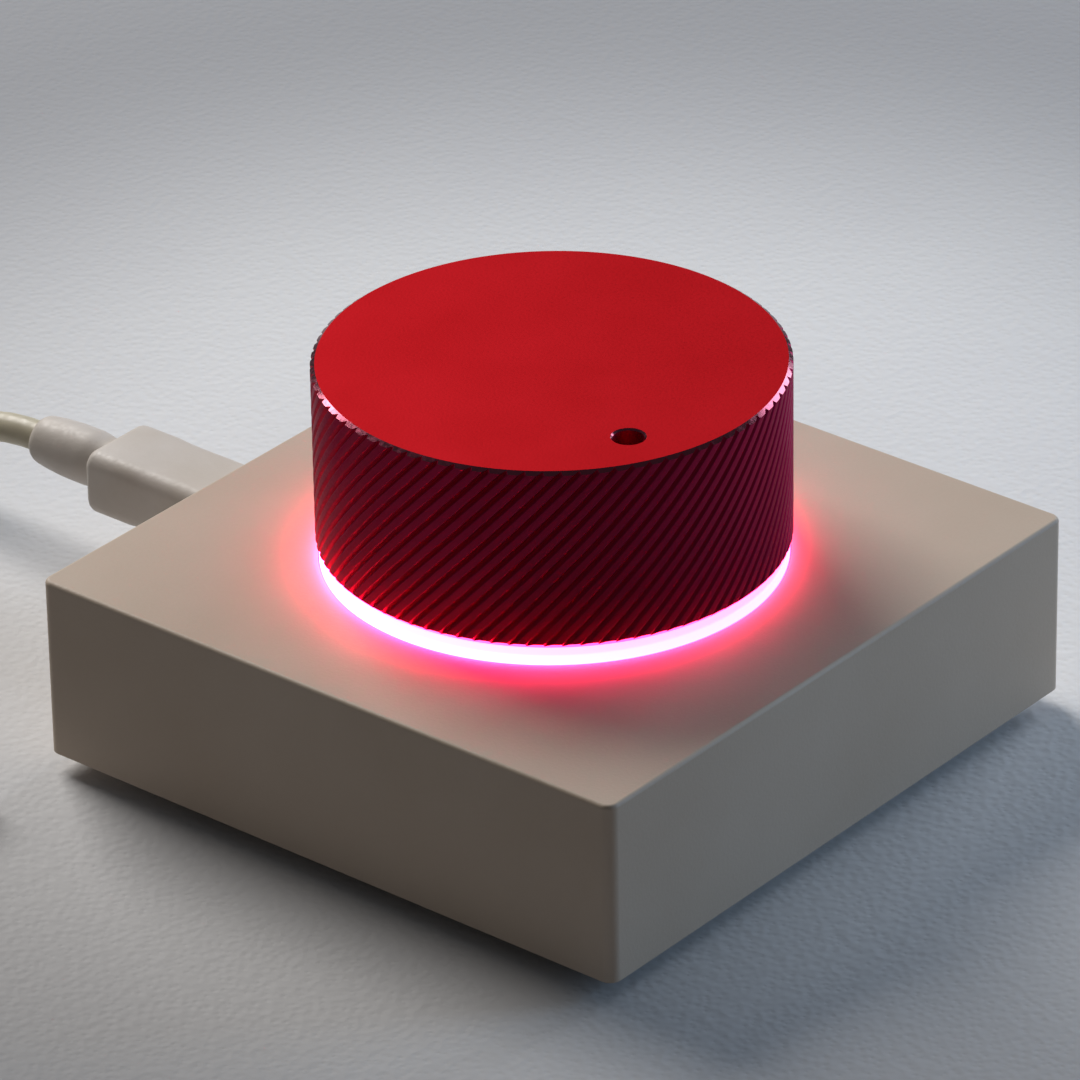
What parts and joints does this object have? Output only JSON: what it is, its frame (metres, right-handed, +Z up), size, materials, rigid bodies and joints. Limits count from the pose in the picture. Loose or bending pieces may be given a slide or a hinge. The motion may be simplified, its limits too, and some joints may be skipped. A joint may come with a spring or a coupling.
{
  "type": "usb volume control knob",
  "caption": "Square desk box with a knurled red knob that turns without end and presses down, a lit ring under it, and a plug-in lead wound in a coil.",
  "frame": {"origin": "on the desk, under the middle of the square box", "axes": "+Z up along the knob's axis, +Y out of the rear wall that the lead plugs into, +X to the right seen from the front"},
  "size_m": [0.104, 0.1887, 0.0473],
  "materials": {
    "box": "fine matte off-white",
    "cover": "matte off-white",
    "screw_steel": "zinc plated",
    "foot_rubber": "matt black",
    "knob_red": "satin red anodised",
    "insert_brass": "turned",
    "shaft_metal": "turned",
    "plated_metal": "nickel plated",
    "pin_metal": "tin and gold plated",
    "black_plastic": "moulded black",
    "white_plastic": "moulded white",
    "ring_light": "frosted, lit from below",
    "lamp": "clear resin in a white case",
    "white_board": "white solder mask",
    "green_board": "green solder mask",
    "ceramic_chip": "fired ceramic",
    "lead_plastic": "soft matte, warm white",
    "tie_black": "woven strap"
  },
  "bodies": {
    "base": {"base_shell": "box", "bottom_cover": "cover", "cover_screws": "screw_steel", "rubber_feet": "foot_rubber", "encoder_body": "black_plastic", "encoder_neck": "plated_metal", "encoder_washer": "plated_metal", "encoder_nut": "plated_metal", "encoder_pins": "pin_metal", "switch_dome": "plated_metal", "light_ring": "ring_light", "led_board": "white_board", "leds": "lamp", "main_board": "green_board", "board_screws": "screw_steel", "controller_chip": "black_plastic", "crystal": "plated_metal", "capacitors": "ceramic_chip", "resistors": "black_plastic", "header_strip": "black_plastic", "header_pins": "pin_metal", "usb_socket": "plated_metal", "socket_tongue": "black_plastic"},
    "plunger": {"switch_plunger": "white_plastic"},
    "knob": {"knob": "knob_red", "knob_insert": "insert_brass", "encoder_shaft": "shaft_metal"},
    "lead": {"plug_body": "lead_plastic", "plug_shell": "plated_metal", "strain_relief": "lead_plastic", "usb_lead": "lead_plastic", "lead_coil": "lead_plastic", "lead_tail": "lead_plastic", "lead_ties": "tie_black", "far_relief": "lead_plastic", "far_plug_body": "lead_plastic", "far_plug_shell": "plated_metal", "far_plug_tongue": "white_plastic"}
  },
  "joints": [
    {"name": "knob_press", "type": "slide", "parent": "base", "child": "plunger", "axis": [0, 0, -1], "range_m": [0, 0.0005], "stiffness_N_per_m": 3000, "springref_m": -0.001, "deforming": ["switch_dome"]},
    {"name": "knob_turn", "type": "hinge", "parent": "plunger", "child": "knob", "pos_m": [0, 0, 0.03], "axis": [0, 0, 1], "continuous": true},
    {"name": "plug_pull", "type": "slide", "parent": "base", "child": "lead", "axis": [0, 1, 0], "range_m": [0, 0.008]}
  ]
}
